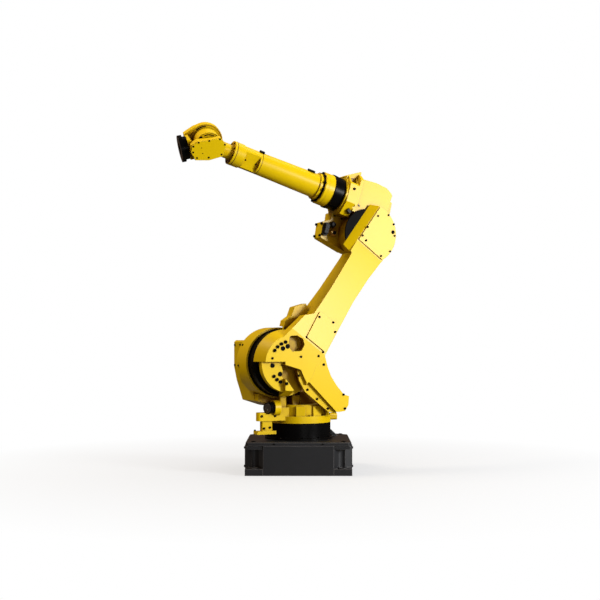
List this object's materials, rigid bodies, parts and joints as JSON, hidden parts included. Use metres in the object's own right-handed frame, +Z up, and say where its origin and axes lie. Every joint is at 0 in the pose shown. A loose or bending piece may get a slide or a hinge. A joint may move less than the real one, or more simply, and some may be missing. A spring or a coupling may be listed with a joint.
{
  "type": "industrial robot arm",
  "caption": "Floor-mounted articulated robot arm in yellow paint on a dark base, with a swivelling turret, lower arm, elbow, slim forearm and a wrist with a tool flange.",
  "frame": {"origin": "on the floor under the swivel axis, at the centre of the base's bottom face", "axes": "+Z up along the swivel axis, +X towards the front face of the base, +Y towards the side on which the lower arm hangs"},
  "size_m": [1.1727, 0.7054, 1.8363],
  "materials": {
    "yellow_paint": "satin",
    "charcoal_paint": "satin",
    "black_metal": "satin",
    "black_paint": "matte",
    "black_plastic": "matte",
    "brass": "satin"
  },
  "bodies": {
    "base": {"base_casting": "charcoal_paint", "base_top_plate": "charcoal_paint", "base_front_cover": "charcoal_paint", "base_rear_cover": "charcoal_paint", "swivel_column": "black_metal"},
    "turret": {"turret_casting": "yellow_paint", "turret_post_front": "yellow_paint", "turret_post_rear": "yellow_paint", "swivel_cap_housing": "yellow_paint", "swivel_cap": "black_metal", "stop_bracket": "yellow_paint", "stop_peg": "yellow_paint", "shoulder_housing": "yellow_paint", "shoulder_seal": "black_metal", "shoulder_motor": "black_paint"},
    "lower_arm": {"lower_arm_casting": "yellow_paint", "shoulder_gear_case": "black_metal", "lower_arm_cover": "yellow_paint", "elbow_cover": "yellow_paint", "elbow_seal": "black_metal", "tail_bracket": "yellow_paint", "tail_rib": "yellow_paint"},
    "elbow": {"elbow_casting": "yellow_paint", "elbow_rear_cover": "yellow_paint", "elbow_flange": "yellow_paint", "elbow_collar": "yellow_paint", "forearm_seal": "black_metal", "motor_box": "yellow_paint", "connector_block": "black_plastic", "round_connector": "black_plastic", "brass_connector": "brass"},
    "forearm": {"forearm_rear_collar": "yellow_paint", "forearm_tube": "yellow_paint", "forearm_neck": "yellow_paint", "forearm_front_collar": "yellow_paint", "wrist_yoke": "yellow_paint", "front_clamp_tab": "black_plastic", "rear_clamp_tab": "black_plastic"},
    "wrist": {"wrist_head": "yellow_paint", "wrist_round_housing": "yellow_paint", "wrist_gear_case": "yellow_paint", "wrist_gear_cover": "yellow_paint"},
    "tool": {"flange_drum": "black_metal", "tool_flange": "black_metal"}
  },
  "joints": [
    {"name": "swivel", "type": "hinge", "parent": "base", "child": "turret", "pos_m": [0, 0, 0], "axis": [0, 0, 1], "range_deg": [-206, 154]},
    {"name": "shoulder", "type": "hinge", "parent": "turret", "child": "lower_arm", "pos_m": [0.13482, 0.06576, 0.575], "axis": [-0.4384, 0.8988, 0], "range_deg": [-28.5, 141.5]},
    {"name": "elbow", "type": "hinge", "parent": "lower_arm", "child": "elbow", "pos_m": [-0.3303, -0.1611, 1.27435], "axis": [0.4384, -0.8988, 0], "range_deg": [-57.8, 115.2]},
    {"name": "forearm_roll", "type": "hinge", "parent": "elbow", "child": "forearm", "pos_m": [-0.37445, -0.18263, 1.44232], "axis": [0.8627, 0.4208, 0.2807], "range_deg": [-331.5, 388.5]},
    {"name": "wrist_bend", "type": "hinge", "parent": "forearm", "child": "wrist", "pos_m": [0.47528, 0.23181, 1.71878], "axis": [-0.2649, 0.8486, -0.458], "range_deg": [-159, 91]},
    {"name": "tool_roll", "type": "hinge", "parent": "wrist", "child": "tool", "pos_m": [0.61583, 0.25672, 1.68365], "axis": [0.9561, 0.1695, -0.239], "range_deg": [-360, 360]}
  ]
}
